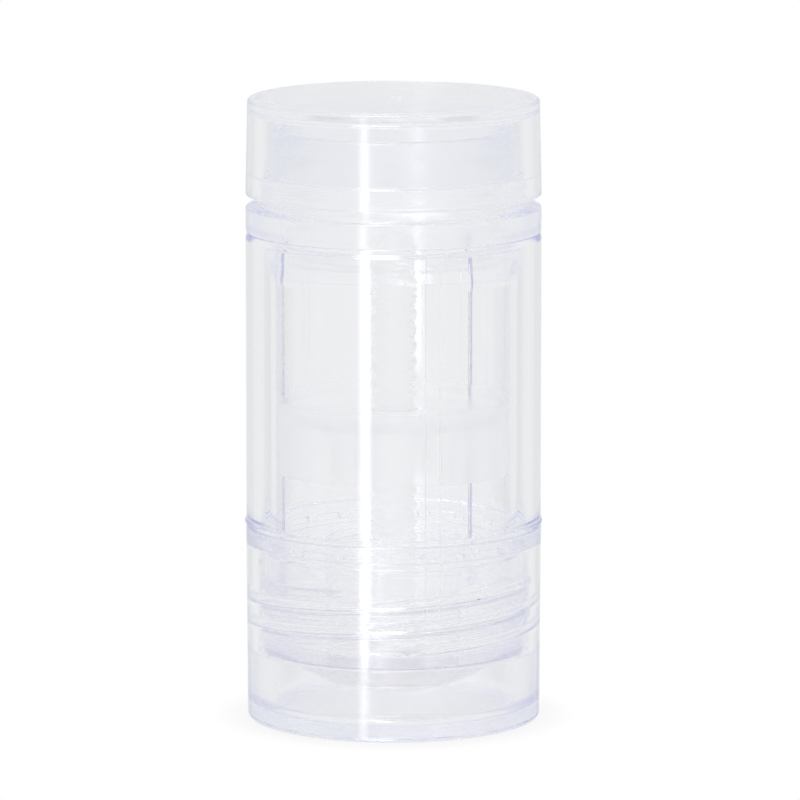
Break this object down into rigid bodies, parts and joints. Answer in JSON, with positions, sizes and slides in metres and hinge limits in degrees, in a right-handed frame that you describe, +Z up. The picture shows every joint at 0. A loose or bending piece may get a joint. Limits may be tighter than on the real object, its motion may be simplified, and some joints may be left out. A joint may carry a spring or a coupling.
{
  "type": "empty twist-up stick container",
  "caption": "Clear double-walled twist-up stick container, empty, with over-cap, screw-driven platform and turning base.",
  "frame": {"origin": "middle of the face the container stands on", "axes": "+Z up along the container's axis, towards the cap; -Y is the side the picture was taken from"},
  "size_m": [0.0513, 0.0512, 0.1075],
  "materials": {
    "clear_outer": "polished clear styrene-acrylonitrile, outer shells",
    "clear_barrel": "polished clear styrene-acrylonitrile, inner tube",
    "clear_core": "polished clear styrene-acrylonitrile, threaded core of the base",
    "hazy_inner": "slightly hazy natural plastic, lead screw and platform",
    "clear_cap": "polished clear styrene-acrylonitrile, over-cap"
  },
  "bodies": {
    "base": {"base_cup": "clear_outer", "drive_core": "clear_core", "screw_spindle": "hazy_inner"},
    "barrel": {"inner_barrel": "clear_barrel", "outer_sleeve": "clear_outer"},
    "platform": {"elevator": "hazy_inner"},
    "cap": {"cap": "clear_cap"}
  },
  "joints": [
    {"name": "twist", "type": "hinge", "parent": "base", "child": "barrel", "pos_m": [0, 0, 0.03], "axis": [0, 0, -1], "range_deg": [-1478, 3445]},
    {"name": "lift", "type": "slide", "parent": "barrel", "child": "platform", "axis": [0, 0, 1], "range_m": [-0.0115, 0.0268]},
    {"name": "cap_off", "type": "slide", "parent": "barrel", "child": "cap", "axis": [0, 0, 1], "range_m": [0, 0.03]}
  ],
  "couplings": [
    {"joint": "lift", "follows": "twist", "m_per_rad": 0.00044563}
  ]
}
